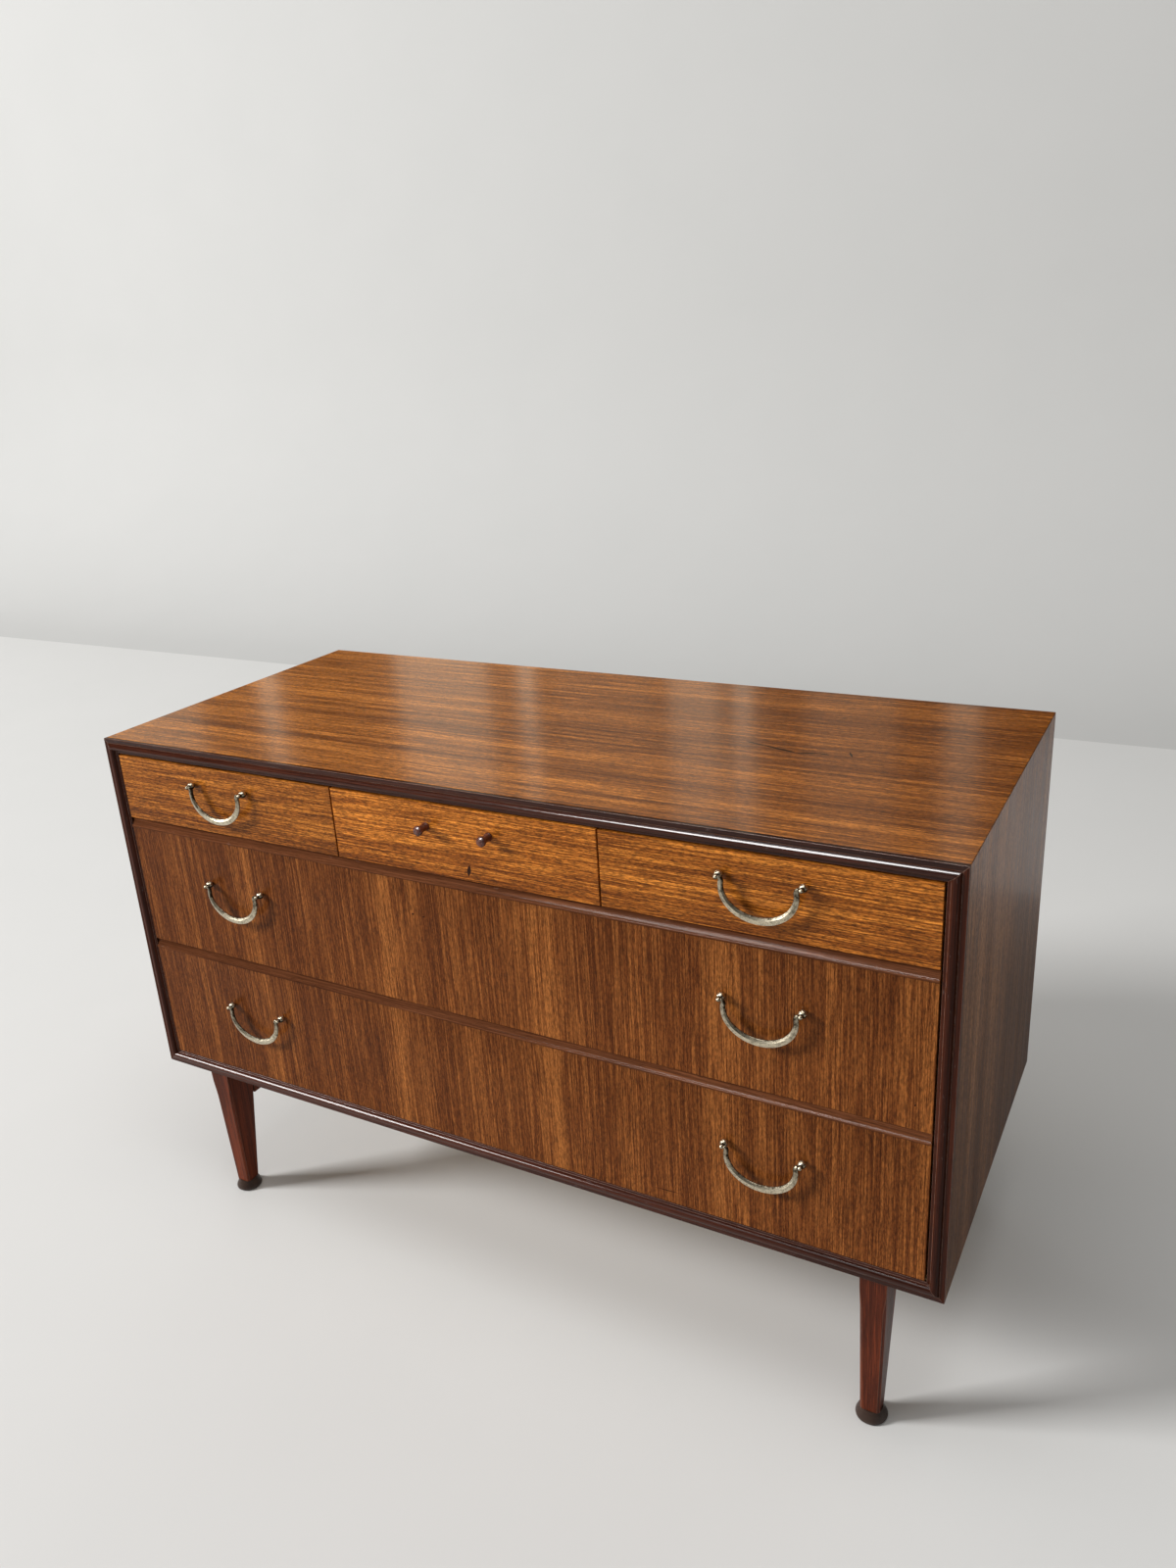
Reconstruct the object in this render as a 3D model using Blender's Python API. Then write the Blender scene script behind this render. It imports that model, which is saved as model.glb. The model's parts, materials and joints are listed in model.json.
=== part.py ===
"""Low chest of drawers on tapered legs.

Three small drawers sit over two full-width ones, all overlaying the rails inside a
mitred front moulding.  Six brass bail handles hang from turned posts.

Metres, +Z up, +X to the right seen from the front, front towards -Y.  The origin is on
the floor, under the middle of the bounding box.
"""
import math

import bmesh
import bpy
from mathutils import Vector

# ---------------------------------------------------------------- driving dimensions
WIDTH = 1.070                 # case, side to side
CASE_DEPTH = 0.460            # front fillet to the back edges of the sides
CASE_HEIGHT = 0.476
LEG_HEIGHT = 0.210            # floor to the underside of the case
GAP = 0.0003                  # clearance between neighbouring pieces

PANEL = 0.018                 # top and side panels
BOTTOM_PANEL = 0.020
BACK_PANEL = 0.006
BACK_INSET = 0.004            # back panel behind the rear edges of the sides

# front moulding: width towards the middle, depth behind the fillet, bead in front of it
MOULDING_WIDTH = 0.0185
MOULDING_DEPTH = 0.005
OUTER_FILLET = 0.0055
QUIRK = 0.0009
BEAD_WIDTH = 0.0080
BEAD_PROUD = 0.0032
INNER_FILLET_BACK = 0.0012
BEAD_STEPS = 8

# drawer fronts
REVEAL = 0.002                # gap between the moulding and the drawer fronts
ROW_GAP = 0.0015              # gap between one row of fronts and the next
COLUMN_GAP = 0.002            # gap between neighbouring small fronts
FRONT_THICKNESS = 0.018
FRONT_SETBACK = 0.001         # face of the fronts behind the moulding's outer fillet
TOP_ROW_HEIGHT = 0.0850
LIPPING_SLOPE = 0.0075        # height of the sloped part of the lipping
LIPPING_SLOPE_BACK = 0.0040
LIPPING_BEAD = 0.0034
LIPPING_BEAD_PROUD = 0.0015
LIPPING_BEAD_STEPS = 6

# inner structure
RAIL_BACK_OF_FRONT = 0.001    # rails and partitions behind the drawer fronts
BOARD = 0.012                 # dust board and partitions
RAIL_DEPTH = 0.040
RAIL_HEIGHT = 0.015
RUNNER_WIDTH = 0.020
BOX_SIDE = 0.010
BOX_BASE = 0.004
BOX_LENGTH = 0.400
BASE_RISE = 0.008             # drawer base above the lower edge of the drawer sides
GROOVE_DEPTH = 0.005
SIDE_CLEARANCE = 0.003        # drawer side to the case or a partition
RUNNER_RISE = 0.006           # running surface above the lower edge of the fronts
DUST_RISE = 0.005
CUT_MARGIN = 0.010            # how far a cutter passes the piece that it cuts
TOP_CLEARANCE = 0.010         # drawer side to what is above it

# underframe
LEG_OUTER_TOP = 0.4755        # outer face of a leg at the case, from the middle
LEG_OUTER_FOOT = 0.4700
LEG_INNER_TOP = 0.4455
LEG_INNER_FOOT = 0.4480
LEG_FRONT_TOP = 0.0130        # front face of a leg behind the fillet
LEG_FRONT_FOOT = 0.0185
LEG_BACK_TOP = 0.0660
LEG_BACK_FOOT = 0.0405
LEG_ARRIS = 0.0004
LEG_CHAMFER = 0.0026
LEG_CHAMFER_START = 0.028     # below the case, where the stopped chamfer begins
LEG_CHAMFER_FULL = 0.052
GLIDE_HEIGHT = 0.014
# (radius, height above the floor) down the outside of a glide
GLIDE_PROFILE = ((0.0123, GLIDE_HEIGHT - GAP), (0.0145, 0.0100), (0.0166, 0.0058),
                 (0.0175, 0.0032), (0.0172, 0.0012), (0.0155, 0.0))
GLIDE_SIDES = 16
UNDER_RAIL_DROP = 0.067
UNDER_RAIL_THICKNESS = 0.018

# brass handles
HANDLE_X = 0.3466             # handle middle from the middle of the case
POST_SPACING = 0.0844
POST_FOOT = 0.0020
POST_BALL = 0.0040
POST_BALL_OUT = 0.0043
POST_NECK = 0.0017
POST_HEAD = 0.0022
POST_HEAD_HALF = 0.0018       # head behind and in front of the pivot
POST_SHOULDER = 0.0002        # length of the step from the neck up to the head
POST_TIP = 0.0006
POST_TIP_ROUND = 0.0015       # radius where the rounding of the tip begins
POST_TIP_ROUNDING = 0.0004
POST_LENGTH = 0.0134
POST_SIDES = 12
PIVOT_OUT = 0.0104            # pivot in front of the drawer face
PIVOT_BELOW_TOP = 0.0710      # pivot below the upper edge of a full-width front
PIVOT_ABOVE_FOOT = 0.0608     # pivot above the lower edge of a small front
PIN_SIDES = 8
PIN_HALF = 0.0010             # half width across the flats of the pin
PIN_CLEARANCE = 0.00006       # between the pin's arrises and the flats of its bore
PIN_END = 0.0017              # pin past the axis of the post
KNUCKLE_X = 0.0398            # start of the knuckle from the middle of the handle
KNUCKLE_HALF = 0.0022
ELBOW = 0.0026
BAIL_DROP = 0.0432            # pivot to the lower edge of the bail
BAIL_SPREAD = 10              # degrees by which the crescent passes half a turn at each end
BAIL_END = 0.0025             # half width of the crescent at its ends
BAIL_MIDDLE = 0.0037          # half width of the crescent at the bottom
BAIL_HALF_DEPTH = 0.0022
BAIL_STEPS = 18
KNUCKLE_TURNS = (0, 30, 60)   # degrees turned through along the knuckle
BAIL_FACET = 0.45             # share of each half side left flat by the bevels

# turned knobs on the centre drawer
KNOB_X = 0.0408
KNOB_ABOVE_FOOT = 0.0572
KNOB_LENGTH = 0.018
# (distance from the drawer face, radius) from stem to rounded end
KNOB_PROFILE = ((GAP, 0.0050), (0.0012, 0.0050), (0.0032, 0.0044), (0.0085, 0.0041), (0.0115, 0.0044),
                (0.0127, 0.0055), (0.0142, 0.0058), (0.0160, 0.0053), (0.0173, 0.0037), (KNOB_LENGTH, 0.0012))
KNOB_SIDES = 16

CREASE = 35                   # degrees between faces above which an edge of a turned piece is sharp

# ---------------------------------------------------------------- derived places
DEPTH_SHIFT = (KNOB_LENGTH - FRONT_SETBACK) / 2
FRONT_Y = -CASE_DEPTH / 2 + DEPTH_SHIFT
BACK_Y = CASE_DEPTH / 2 + DEPTH_SHIFT
CASE_Z = LEG_HEIGHT
TOP_Z = CASE_Z + CASE_HEIGHT
HALF_WIDTH = WIDTH / 2
INNER_X = HALF_WIDTH - PANEL
PANEL_FRONT_Y = FRONT_Y + MOULDING_DEPTH + GAP
BACK_PANEL_Y = BACK_Y - BACK_INSET - BACK_PANEL
INNER_BACK_Y = BACK_PANEL_Y - GAP
CEILING_Z = TOP_Z - PANEL

FACE_Y = FRONT_Y + FRONT_SETBACK
FRONT_BACK_Y = FACE_Y + FRONT_THICKNESS
RAIL_Y = FRONT_BACK_Y + RAIL_BACK_OF_FRONT

FRONTS_HALF_WIDTH = HALF_WIDTH - MOULDING_WIDTH - REVEAL
FRONTS_TOP = TOP_Z - MOULDING_WIDTH - REVEAL
FRONTS_FOOT = CASE_Z + MOULDING_WIDTH + REVEAL
TOP_ROW_FOOT = FRONTS_TOP - TOP_ROW_HEIGHT
WIDE_HEIGHT = (TOP_ROW_FOOT - FRONTS_FOOT - 2 * ROW_GAP) / 2
BOTTOM_ROW_TOP = FRONTS_FOOT + WIDE_HEIGHT
MIDDLE_ROW_FOOT = BOTTOM_ROW_TOP + ROW_GAP
MIDDLE_ROW_TOP = MIDDLE_ROW_FOOT + WIDE_HEIGHT
SMALL_WIDTH = (2 * FRONTS_HALF_WIDTH - 2 * COLUMN_GAP) / 3
COLUMN_PITCH = SMALL_WIDTH + COLUMN_GAP

RUNNER_TOP = MIDDLE_ROW_FOOT + RUNNER_RISE
DUST_TOP = TOP_ROW_FOOT + DUST_RISE
BOX_INSIDE_STEP = FRONT_THICKNESS + GAP


# ---------------------------------------------------------------- materials
def material(name, colour, roughness, metallic=0.0):
    made = bpy.data.materials.new(name)
    made.use_nodes = True
    shader = made.node_tree.nodes["Principled BSDF"]
    shader.inputs["Base Color"].default_value = (*colour, 1.0)
    shader.inputs["Roughness"].default_value = roughness
    shader.inputs["Metallic"].default_value = metallic
    return made


def make_materials():
    return {
        "top": material("top_veneer", (0.36, 0.14, 0.045), 0.25),
        "side": material("side_veneer", (0.20, 0.085, 0.035), 0.35),
        "small_front": material("small_front_veneer", (0.42, 0.17, 0.045), 0.35),
        "wide_front": material("wide_front_veneer", (0.27, 0.11, 0.040), 0.35),
        "moulding": material("moulding_wood", (0.12, 0.035, 0.018), 0.30),
        "leg": material("leg_wood", (0.14, 0.040, 0.020), 0.35),
        "inner": material("carcass_wood", (0.45, 0.30, 0.17), 0.60),
        "drawer": material("drawer_wood", (0.50, 0.34, 0.20), 0.55),
        "back": material("back_board", (0.38, 0.24, 0.13), 0.70),
        "brass": material("aged_brass", (0.55, 0.46, 0.30), 0.35, 1.0),
        "knob": material("knob_wood", (0.07, 0.028, 0.018), 0.40),
        "glide": material("glide_brown", (0.045, 0.026, 0.020), 0.40),
    }


# ---------------------------------------------------------------- mesh helpers
def place(name, mesh, finish, parent=None, location=(0, 0, 0), smooth=False):
    mesh.materials.append(finish)
    if smooth:
        mesh.shade_smooth()
        mesh.set_sharp_from_angle(angle=math.radians(CREASE))
    piece = bpy.data.objects.new(name, mesh)
    bpy.context.scene.collection.objects.link(piece)
    piece.location = location
    piece.parent = parent
    return piece


def closed_mesh(name, rings):
    """Skin a list of equal rings of points and cap both ends."""
    mesh = bpy.data.meshes.new(name)
    model = bmesh.new()
    loops = [[model.verts.new(point) for point in ring] for ring in rings]
    count = len(loops[0])
    for lower, upper in zip(loops, loops[1:]):
        for index in range(count):
            after = (index + 1) % count
            model.faces.new((lower[index], lower[after], upper[after], upper[index]))
    model.faces.new(list(reversed(loops[0])))
    model.faces.new(loops[-1])
    bmesh.ops.recalc_face_normals(model, faces=model.faces)
    model.to_mesh(mesh)
    model.free()
    return mesh


def box_mesh(name, low, high):
    rings = [
        [(low[0], low[1], z), (high[0], low[1], z), (high[0], high[1], z), (low[0], high[1], z)]
        for z in (low[2], high[2])
    ]
    return closed_mesh(name, rings)


def circle(radius, sides, start=0.0):
    """Corners of a regular polygon, the first one `start` degrees round."""
    corners = []
    for index in range(sides):
        angle = math.radians(start) + 2 * math.pi * index / sides
        corners.append((radius * math.cos(angle), radius * math.sin(angle)))
    return corners


def turned_mesh(name, profile, sides):
    """Turn (distance along -Y, radius) points about the Y axis."""
    rings = []
    for distance, radius in profile:
        rings.append([(x, -distance, z) for x, z in circle(radius, sides)])
    return closed_mesh(name, rings)


def arc(centre, radii, start, end, steps):
    """Points of an elliptical arc, angles in degrees."""
    points = []
    for index in range(steps + 1):
        angle = math.radians(start + (end - start) * index / steps)
        points.append((centre[0] + radii[0] * math.cos(angle), centre[1] + radii[1] * math.sin(angle)))
    return points


def cut(piece, cutter_mesh, location):
    """Take the cutter's shape out of the piece and keep the result as its mesh."""
    cutter = bpy.data.objects.new("cutter", cutter_mesh)
    bpy.context.scene.collection.objects.link(cutter)
    cutter.location = location
    modifier = piece.modifiers.new("cut", "BOOLEAN")
    modifier.operation = "DIFFERENCE"
    modifier.solver = "EXACT"
    modifier.object = cutter
    bpy.context.view_layer.update()
    graph = bpy.context.evaluated_depsgraph_get()
    result = bpy.data.meshes.new_from_object(piece.evaluated_get(graph))
    piece.modifiers.clear()
    piece.data = result
    bpy.data.objects.remove(cutter, do_unlink=True)


def empty(name, location):
    holder = bpy.data.objects.new(name, None)
    holder.location = location
    bpy.context.scene.collection.objects.link(holder)
    return holder


# ---------------------------------------------------------------- case
def make_top_panel(finish):
    """The ends are cut at 45 degrees to meet the side panels."""
    rings = []
    for y in (PANEL_FRONT_Y, BACK_Y):
        rings.append([(-INNER_X, y, CEILING_Z), (INNER_X, y, CEILING_Z),
                      (HALF_WIDTH, y, TOP_Z), (-HALF_WIDTH, y, TOP_Z)])
    place("top_panel", closed_mesh("top_panel", rings), finish)


def make_side_panel(side, finish):
    sign = -1 if side == "left" else 1
    mitre = GAP * math.sqrt(2)
    rings = []
    for y in (PANEL_FRONT_Y, BACK_Y):
        rings.append([(sign * INNER_X, y, CASE_Z), (sign * HALF_WIDTH, y, CASE_Z),
                      (sign * HALF_WIDTH, y, TOP_Z - mitre), (sign * INNER_X, y, CEILING_Z - mitre)])
    name = "side_panel_" + side
    place(name, closed_mesh(name, rings), finish)


def make_flat_panels(finishes):
    inside = INNER_X - GAP
    floor_z = CASE_Z + BOTTOM_PANEL
    panels = {
        "bottom_panel": ((-inside, PANEL_FRONT_Y, CASE_Z), (inside, BACK_Y, floor_z), "inner"),
        "back_panel": ((-inside, BACK_PANEL_Y, floor_z + GAP),
                       (inside, BACK_Y - BACK_INSET, CEILING_Z - GAP), "back"),
        "dust_board": ((-inside, RAIL_Y, DUST_TOP - BOARD - GAP),
                       (inside, INNER_BACK_Y, DUST_TOP - GAP), "inner"),
        "front_rail": ((-inside, RAIL_Y, RUNNER_TOP - RAIL_HEIGHT - GAP),
                       (inside, RAIL_Y + RAIL_DEPTH, RUNNER_TOP - GAP), "inner"),
    }
    for name, (low, high, finish) in panels.items():
        place(name, box_mesh(name, low, high), finishes[finish])


def make_partitions(finish):
    for side, sign in (("left", -1), ("right", 1)):
        middle = sign * COLUMN_PITCH / 2
        name = "partition_" + side
        low = (middle - BOARD / 2, RAIL_Y, DUST_TOP)
        high = (middle + BOARD / 2, INNER_BACK_Y, CEILING_Z - GAP)
        place(name, box_mesh(name, low, high), finish)


def make_runners(finish):
    for side, sign in (("left", -1), ("right", 1)):
        edges = sorted((sign * (INNER_X - GAP), sign * (INNER_X - RUNNER_WIDTH)))
        name = "runner_" + side
        low = (edges[0], RAIL_Y + RAIL_DEPTH + GAP, RUNNER_TOP - RAIL_HEIGHT - GAP)
        high = (edges[1], INNER_BACK_Y, RUNNER_TOP - GAP)
        place(name, box_mesh(name, low, high), finish)


def moulding_profile():
    """(towards the middle, in front of the fillet) points of the front moulding."""
    bead_middle = OUTER_FILLET + QUIRK + BEAD_WIDTH / 2
    points = [(0, -MOULDING_DEPTH), (0, 0), (OUTER_FILLET, 0), (OUTER_FILLET + QUIRK, -QUIRK)]
    points += arc((bead_middle, 0), (BEAD_WIDTH / 2, BEAD_PROUD), 180, 0, BEAD_STEPS)
    points += [(bead_middle + BEAD_WIDTH / 2 + QUIRK, -QUIRK - INNER_FILLET_BACK)]
    points += [(MOULDING_WIDTH, -QUIRK - INNER_FILLET_BACK), (MOULDING_WIDTH, -MOULDING_DEPTH)]
    return points


def make_mouldings(finish):
    """Four strips around the front, mitred at the corners."""
    half_height = CASE_HEIGHT / 2
    middle_z = CASE_Z + half_height
    mitre = GAP / math.sqrt(2)
    for name, across, sign in (("top", "x", 1), ("bottom", "x", -1), ("left", "z", -1), ("right", "z", 1)):
        rings = []
        for end in (-1, 1):
            ring = []
            for inward, forward in moulding_profile():
                if across == "x":
                    x = end * (HALF_WIDTH - inward - mitre)
                    z = middle_z + sign * (half_height - inward)
                else:
                    x = sign * (HALF_WIDTH - inward)
                    z = middle_z + end * (half_height - inward - mitre)
                ring.append((x, FRONT_Y - forward, z))
            rings.append(ring)
        place("moulding_" + name, closed_mesh("moulding_" + name, rings), finish)


# ---------------------------------------------------------------- underframe
def leg_ring(height, chamfer, sign, rear):
    """Chamfered square section of a leg, `height` below the case."""
    share = height / (LEG_HEIGHT - GLIDE_HEIGHT)
    inner = LEG_INNER_TOP + (LEG_INNER_FOOT - LEG_INNER_TOP) * share
    outer = LEG_OUTER_TOP + (LEG_OUTER_FOOT - LEG_OUTER_TOP) * share
    front = LEG_FRONT_TOP + (LEG_FRONT_FOOT - LEG_FRONT_TOP) * share
    back = LEG_BACK_TOP + (LEG_BACK_FOOT - LEG_BACK_TOP) * share
    outline = [(inner + chamfer, front), (outer - chamfer, front), (outer, front + chamfer),
               (outer, back - chamfer), (outer - chamfer, back), (inner + chamfer, back),
               (inner, back - chamfer), (inner, front + chamfer)]
    points = []
    for x, setback in outline:
        y = BACK_Y - setback if rear else FRONT_Y + setback
        points.append((sign * x, y, CASE_Z - height))
    return points


def make_legs(wood, plastic):
    foot = LEG_HEIGHT - GLIDE_HEIGHT
    sections = ((GAP, LEG_ARRIS), (LEG_CHAMFER_START, LEG_ARRIS),
                (LEG_CHAMFER_FULL, LEG_CHAMFER), (foot, LEG_CHAMFER))
    foot_x = (LEG_INNER_FOOT + LEG_OUTER_FOOT) / 2
    foot_back = (LEG_FRONT_FOOT + LEG_BACK_FOOT) / 2
    for depth, rear in (("front", False), ("back", True)):
        for side, sign in (("left", -1), ("right", 1)):
            name = "leg_" + depth + "_" + side
            rings = [leg_ring(height, chamfer, sign, rear) for height, chamfer in sections]
            place(name, closed_mesh(name, rings), wood)
            name = "glide_" + depth + "_" + side
            rings = []
            for radius, z in GLIDE_PROFILE:
                rings.append([(x, y, z) for x, y in circle(radius, GLIDE_SIDES)])
            y = BACK_Y - foot_back if rear else FRONT_Y + foot_back
            place(name, closed_mesh(name, rings), plastic, location=(sign * foot_x, y, 0), smooth=True)


def make_under_rails(finish):
    """A rail joins each front leg to the back leg behind it."""
    slope = (LEG_BACK_TOP - LEG_BACK_FOOT) / (LEG_HEIGHT - GLIDE_HEIGHT)
    for side, sign in (("left", -1), ("right", 1)):
        rings = []
        near = LEG_INNER_TOP + (LEG_INNER_FOOT - LEG_INNER_TOP) * UNDER_RAIL_DROP / LEG_HEIGHT
        for x in (near, near + UNDER_RAIL_THICKNESS):
            ring = []
            for height in (GAP, UNDER_RAIL_DROP):
                setback = LEG_BACK_TOP - slope * height + GAP
                pair = [(sign * x, FRONT_Y + setback, CASE_Z - height),
                        (sign * x, BACK_Y - setback, CASE_Z - height)]
                ring += pair if height == GAP else pair[::-1]
            rings.append(ring)
        name = "under_rail_" + side
        place(name, closed_mesh(name, rings), finish)


# ---------------------------------------------------------------- drawers
def wide_front_profile(height):
    """(in front of the face, above the foot) points; a sloped and beaded lipping runs along the top."""
    bead_foot = height - LIPPING_SLOPE - QUIRK - LIPPING_BEAD
    points = [(-FRONT_THICKNESS, 0), (0, 0), (0, bead_foot)]
    bead_middle = (0, bead_foot + LIPPING_BEAD / 2)
    points += arc(bead_middle, (LIPPING_BEAD_PROUD, LIPPING_BEAD / 2), -90, 90, LIPPING_BEAD_STEPS)[1:]
    points += [(-QUIRK, height - LIPPING_SLOPE), (-LIPPING_SLOPE_BACK, height), (-FRONT_THICKNESS, height)]
    return points


def make_front(name, half_width, height, lipped, finish, parent):
    if lipped:
        rings = [[(x, -forward, z) for forward, z in wide_front_profile(height)]
                 for x in (-half_width, half_width)]
        mesh = closed_mesh(name, rings)
    else:
        mesh = box_mesh(name, (-half_width, 0, 0), (half_width, FRONT_THICKNESS, height))
    place(name, mesh, finish, parent)


def make_box(name, half_width, middle, low, high, finish, parent):
    """Two sides and a back in one U, grooved for the base.  `middle` is its offset from the front's."""
    near = BOX_INSIDE_STEP
    far = near + BOX_LENGTH
    inner = half_width - BOX_SIDE
    outline = [(-half_width, near), (-inner, near), (-inner, far - BOX_SIDE), (inner, far - BOX_SIDE),
               (inner, near), (half_width, near), (half_width, far), (-half_width, far)]
    rings = [[(x, y, z) for x, y in outline] for z in (low, high)]
    offset = (middle, 0, 0)
    box = place("box_" + name, closed_mesh("box_" + name, rings), finish, parent, offset)
    reach = inner + GROOVE_DEPTH
    end = far - BOX_SIDE + GROOVE_DEPTH
    foot = low + BASE_RISE
    groove = box_mesh("groove", (-reach, near - CUT_MARGIN, foot - GAP), (reach, end, foot + BOX_BASE + GAP))
    cut(box, groove, parent.location + Vector(offset))
    edge = reach - GAP
    base = box_mesh("base_" + name, (-edge, near, foot), (edge, end - GAP, foot + BOX_BASE))
    place("base_" + name, base, finish, parent, offset)


def drawer_box_half_width(name):
    partition_face = COLUMN_PITCH / 2 - BOARD / 2
    outer_half = (INNER_X - COLUMN_PITCH / 2 - BOARD / 2) / 2
    widths = {"top_left": outer_half, "top_right": outer_half, "top_centre": partition_face}
    return widths.get(name, INNER_X) - SIDE_CLEARANCE


def drawer_box_middle(name):
    """Offset of a drawer box from the middle of its own front."""
    outer_middle = (INNER_X + COLUMN_PITCH / 2 + BOARD / 2) / 2
    offsets = {"top_left": COLUMN_PITCH - outer_middle, "top_right": outer_middle - COLUMN_PITCH}
    return offsets.get(name, 0.0)


def make_drawers(finishes):
    half_small = SMALL_WIDTH / 2
    small_low = DUST_TOP - TOP_ROW_FOOT
    small_high = CEILING_Z - TOP_CLEARANCE - TOP_ROW_FOOT
    middle_low = RUNNER_TOP - MIDDLE_ROW_FOOT
    middle_high = DUST_TOP - BOARD - TOP_CLEARANCE - MIDDLE_ROW_FOOT
    bottom_low = CASE_Z + BOTTOM_PANEL + GAP - FRONTS_FOOT
    bottom_high = RUNNER_TOP - RAIL_HEIGHT - TOP_CLEARANCE - FRONTS_FOOT
    rows = (
        ("top_left", -COLUMN_PITCH, TOP_ROW_FOOT, half_small, TOP_ROW_HEIGHT, small_low, small_high),
        ("top_centre", 0.0, TOP_ROW_FOOT, half_small, TOP_ROW_HEIGHT, small_low, small_high),
        ("top_right", COLUMN_PITCH, TOP_ROW_FOOT, half_small, TOP_ROW_HEIGHT, small_low, small_high),
        ("middle", 0.0, MIDDLE_ROW_FOOT, FRONTS_HALF_WIDTH, WIDE_HEIGHT, middle_low, middle_high),
        ("bottom", 0.0, FRONTS_FOOT, FRONTS_HALF_WIDTH, WIDE_HEIGHT, bottom_low, bottom_high),
    )
    drawers = {}
    for name, x, foot, half_width, height, low, high in rows:
        lipped = not name.startswith("top")
        holder = empty("slide_" + name, (x, FACE_Y, foot))
        veneer = finishes["wide_front" if lipped else "small_front"]
        make_front("front_" + name, half_width, height, lipped, veneer, holder)
        make_box(name, drawer_box_half_width(name), drawer_box_middle(name), low, high,
                 finishes["drawer"], holder)
        drawers[name] = holder
    return drawers


# ---------------------------------------------------------------- handles and knobs
def bail_section(centre_x, centre_z, heading, half_width, half_depth):
    """Eight-sided section across the bail; `heading` is the direction of travel in the XZ plane."""
    across = (-math.sin(heading), math.cos(heading))
    flat = BAIL_FACET
    outline = [(1, flat), (flat, 1), (-flat, 1), (-1, flat), (-1, -flat), (-flat, -1), (flat, -1), (1, -flat)]
    points = []
    for side, depth in outline:
        x = centre_x + across[0] * side * half_width
        z = centre_z + across[1] * side * half_width
        points.append((x, depth * half_depth, z))
    return points


def bail_mesh(name):
    """Pin, knuckle, crescent, knuckle and pin, with the pivot axis through the origin along X."""
    left = []
    for x in (POST_SPACING / 2 + PIN_END, KNUCKLE_X + GAP / 2):
        left.append((-x, 0.0, 0.0, PIN_HALF, PIN_HALF))
    for turn in KNUCKLE_TURNS:
        angle = math.radians(turn)
        x = -KNUCKLE_X + ELBOW * math.sin(angle)
        z = -ELBOW + ELBOW * math.cos(angle)
        left.append((x, z, -angle, KNUCKLE_HALF, BAIL_HALF_DEPTH))
    spread = math.radians(BAIL_SPREAD)
    radius_x = (KNUCKLE_X - ELBOW) / math.cos(spread)
    radius_z = (BAIL_DROP - BAIL_MIDDLE - ELBOW) / (1 + math.sin(spread))
    centre_z = -ELBOW - radius_z * math.sin(spread)
    path = list(left)
    for index in range(BAIL_STEPS + 1):
        angle = -spread + (math.pi + 2 * spread) * index / BAIL_STEPS
        x = -radius_x * math.cos(angle)
        z = centre_z - radius_z * math.sin(angle)
        heading = math.atan2(-radius_z * math.cos(angle), radius_x * math.sin(angle))
        half_width = BAIL_END + (BAIL_MIDDLE - BAIL_END) * max(0.0, math.sin(angle))
        path.append((x, z, heading, half_width, BAIL_HALF_DEPTH))
    for x, z, heading, half_width, half_depth in reversed(left):
        path.append((-x, z, -heading, half_width, half_depth))
    return closed_mesh(name, [bail_section(*station) for station in path])


def post_profile():
    """Ball against the drawer, waist, then the small head that holds the pin."""
    points = [(GAP, POST_FOOT)]
    points += arc((POST_BALL_OUT, 0), (POST_BALL, POST_BALL), 150, 25, 5)
    head_start = PIVOT_OUT - POST_HEAD_HALF
    head_end = PIVOT_OUT + POST_HEAD_HALF
    points += [(head_start - POST_SHOULDER, POST_NECK), (head_start, POST_HEAD), (head_end, POST_HEAD)]
    points += [(POST_LENGTH - POST_TIP_ROUNDING, POST_TIP_ROUND), (POST_LENGTH, POST_TIP)]
    return points


def pin_bore_mesh():
    """Eight-sided cutter along X, its flats just clear of the pin's arrises."""
    arris = PIN_HALF * math.hypot(1, BAIL_FACET)
    radius = (arris + PIN_CLEARANCE) / math.cos(math.pi / PIN_SIDES)
    rings = []
    for x in (-CUT_MARGIN, CUT_MARGIN):
        rings.append([(x, y, z) for y, z in circle(radius, PIN_SIDES, 180 / PIN_SIDES)])
    return closed_mesh("pin_bore", rings)


def make_handle(name, x, z, drawer, finish):
    pivot = Vector((x - drawer.location[0], -PIVOT_OUT, z))
    place("bail_" + name, bail_mesh("bail_" + name), finish, drawer, pivot, smooth=True)
    outward = math.copysign(1, x)
    for end, sign in (("inner", -outward), ("outer", outward)):
        label = "post_" + name + "_" + end
        offset = Vector((sign * POST_SPACING / 2, 0, 0))
        foot = pivot + offset + Vector((0, PIVOT_OUT, 0))
        post = place(label, turned_mesh(label, post_profile(), POST_SIDES), finish, drawer, foot, smooth=True)
        cut(post, pin_bore_mesh(), drawer.location + pivot + offset)


def make_handles(drawers, finish):
    for side, sign in (("left", -1), ("right", 1)):
        make_handle("top_" + side, sign * HANDLE_X, PIVOT_ABOVE_FOOT, drawers["top_" + side], finish)
        for row in ("middle", "bottom"):
            height = WIDE_HEIGHT - PIVOT_BELOW_TOP
            make_handle(row + "_" + side, sign * HANDLE_X, height, drawers[row], finish)


def make_knobs(drawer, finish):
    for side, sign in (("left", -1), ("right", 1)):
        name = "knob_" + side
        place(name, turned_mesh(name, KNOB_PROFILE, KNOB_SIDES), finish, drawer,
              (sign * KNOB_X, 0, KNOB_ABOVE_FOOT), smooth=True)


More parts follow.
